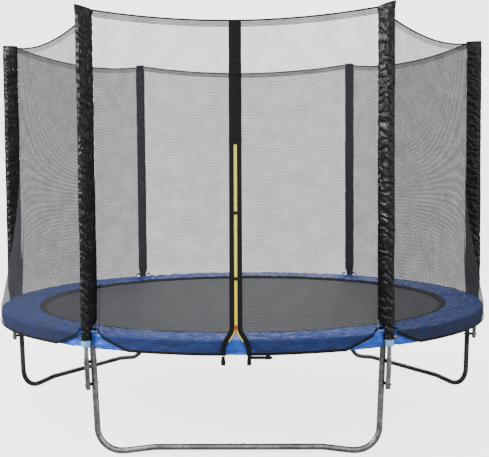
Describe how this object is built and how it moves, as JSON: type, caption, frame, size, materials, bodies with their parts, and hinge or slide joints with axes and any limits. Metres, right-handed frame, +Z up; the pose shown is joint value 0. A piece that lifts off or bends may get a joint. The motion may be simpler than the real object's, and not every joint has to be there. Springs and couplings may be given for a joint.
{
  "type": "trampoline",
  "caption": "Round garden trampoline with a spring-hung mat, a blue safety pad, U-shaped legs and a tall net enclosure with a zipped doorway.",
  "frame": {"origin": "on the ground under the centre of the mat", "axes": "+Z up, -Y towards the doorway at the front, +X to the right as seen from the front"},
  "size_m": [3.146, 3.0862, 2.309],
  "materials": {
    "galvanised_steel": "satin",
    "pole_steel": "satin",
    "foam": "matte",
    "sleeve_fabric": "matte",
    "net": "matte",
    "black_webbing": "matte",
    "zip_yellow": "satin",
    "slider_red": "satin",
    "black_plastic": "matte",
    "pad_vinyl": "satin",
    "mat_fabric": "matte",
    "zinc_steel": "satin"
  },
  "bodies": {
    "frame": {"rail_front_right": "galvanised_steel", "rail_right": "galvanised_steel", "rail_back_right": "galvanised_steel", "rail_back_left": "galvanised_steel", "rail_left": "galvanised_steel", "rail_front_left": "galvanised_steel", "leg_front_right": "galvanised_steel", "leg_right": "galvanised_steel", "leg_back_right": "galvanised_steel", "leg_back_left": "galvanised_steel", "leg_left": "galvanised_steel", "leg_front_left": "galvanised_steel", "low_pole_front_right": "galvanised_steel", "low_pole_right": "galvanised_steel", "low_pole_back_right": "galvanised_steel", "low_pole_back_left": "galvanised_steel", "low_pole_left": "galvanised_steel", "low_pole_front_left": "galvanised_steel", "pole_front_right": "pole_steel", "pole_right": "pole_steel", "pole_back_right": "pole_steel", "pole_back_left": "pole_steel", "pole_left": "pole_steel", "pole_front_left": "pole_steel", "foam_front_right": "foam", "foam_right": "foam", "foam_back_right": "foam", "foam_back_left": "foam", "foam_left": "foam", "foam_front_left": "foam", "sleeve_front_right": "sleeve_fabric", "sleeve_right": "sleeve_fabric", "sleeve_back_right": "sleeve_fabric", "sleeve_back_left": "sleeve_fabric", "sleeve_left": "sleeve_fabric", "sleeve_front_left": "sleeve_fabric", "net_right_front": "net", "net_right_back": "net", "net_back": "net", "net_left_back": "net", "net_left_front": "net", "net_front_left": "net", "net_front_right": "net", "door_strip": "black_webbing", "top_cord": "black_webbing", "pad": "pad_vinyl", "springs": "zinc_steel", "bolts_and_screws": "zinc_steel", "pole_spacers": "black_plastic"},
    "bed": {"mat": "mat_fabric", "mat_rings": "zinc_steel"},
    "door_left": {"door_net_left": "net", "door_edge_left": "black_webbing", "zip_left": "zip_yellow", "door_clips_left": "black_plastic"},
    "door_right": {"door_net_right": "net", "door_edge_right": "black_webbing", "zip_right": "zip_yellow", "door_clips_right": "black_plastic"},
    "zip_slider": {"zip_slider": "slider_red"}
  },
  "joints": [
    {"name": "mat_bounce", "type": "slide", "parent": "frame", "child": "bed", "axis": [0, 0, 1], "range_m": [-0.3, 0], "stiffness_N_per_m": 6000, "springref_m": 0.01, "deforming": ["springs"]},
    {"name": "door_flap_left", "type": "hinge", "parent": "frame", "child": "door_left", "pos_m": [0, -1.39559, 1.61], "axis": [-0.5597, -0.0008, -0.8287], "range_deg": [0, 60]},
    {"name": "door_flap_right", "type": "hinge", "parent": "frame", "child": "door_right", "pos_m": [0, -1.39559, 1.61], "axis": [-0.5597, 0.0008, 0.8287], "range_deg": [0, 60]},
    {"name": "zip_slide", "type": "slide", "parent": "door_left", "child": "zip_slider", "axis": [0, 0.1486, 0.9889], "range_m": [0, 0.871]}
  ],
  "couplings": [
    {"joint": "door_flap_right", "follows": "door_flap_left", "ratio": 1},
    {"joint": "zip_slide", "follows": "door_flap_left", "m_per_rad": 0.83}
  ]
}
